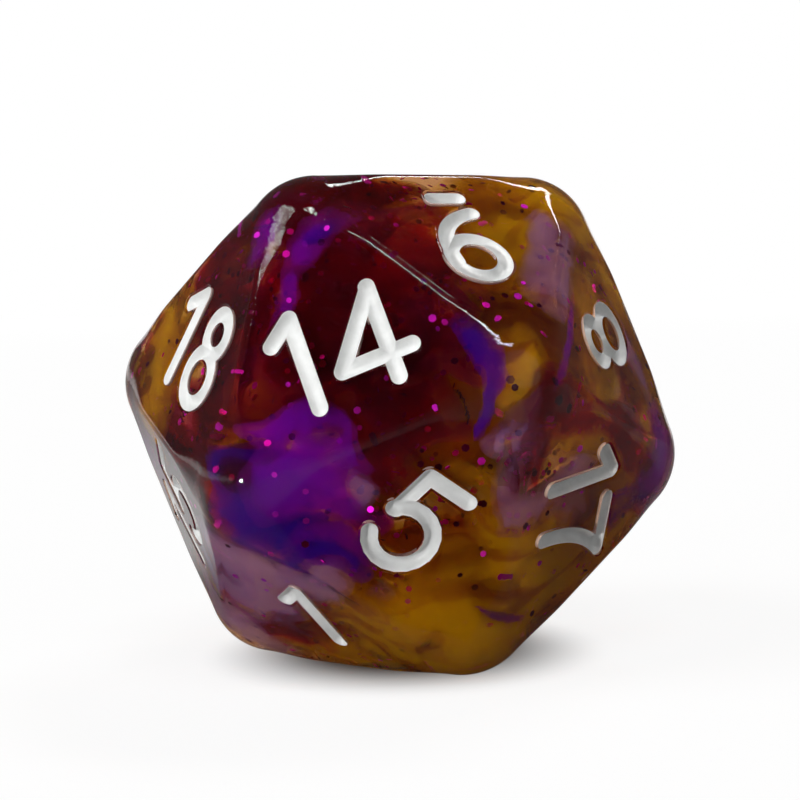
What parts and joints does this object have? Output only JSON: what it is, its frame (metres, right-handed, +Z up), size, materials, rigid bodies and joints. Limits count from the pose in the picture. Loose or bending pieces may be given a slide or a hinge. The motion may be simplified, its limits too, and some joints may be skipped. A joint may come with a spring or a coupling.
{
  "type": "polyhedral die",
  "caption": "Icosahedral gaming die of swirled, glittered clear resin with tumbled edges and engraved, paint-filled white numerals, resting on any face.",
  "frame": {"origin": "centre of the face that the die rests on, the face with the 11", "axes": "+Z up through the face with the 10, the face with the 14 towards -Y and slightly up, +X to the right of it"},
  "size_m": [0.0236, 0.0212, 0.02],
  "materials": {
    "clear_resin": "polished clear casting resin with a faint mauve cast",
    "white_paint": "satin white acrylic paint, slightly dished in the engraving",
    "amber_dye": "amber-dyed clear resin",
    "violet_dye": "violet-dyed clear resin",
    "indigo_dye": "indigo-dyed clear resin",
    "foil": "magenta polyester foil, metallic"
  },
  "bodies": {
    "root": {"resin_body": "clear_resin", "numeral_01": "white_paint", "numeral_02": "white_paint", "numeral_03": "white_paint", "numeral_04": "white_paint", "numeral_05": "white_paint", "numeral_06": "white_paint", "numeral_07": "white_paint", "numeral_08": "white_paint", "numeral_09": "white_paint", "numeral_10": "white_paint", "numeral_11": "white_paint", "numeral_12": "white_paint", "numeral_13": "white_paint", "numeral_14": "white_paint", "numeral_15": "white_paint", "numeral_16": "white_paint", "numeral_17": "white_paint", "numeral_18": "white_paint", "numeral_19": "white_paint", "numeral_20": "white_paint", "amber_swirl": "amber_dye", "violet_swirl": "violet_dye", "indigo_swirl": "indigo_dye", "glitter_flakes": "foil"}
  },
  "joints": []
}
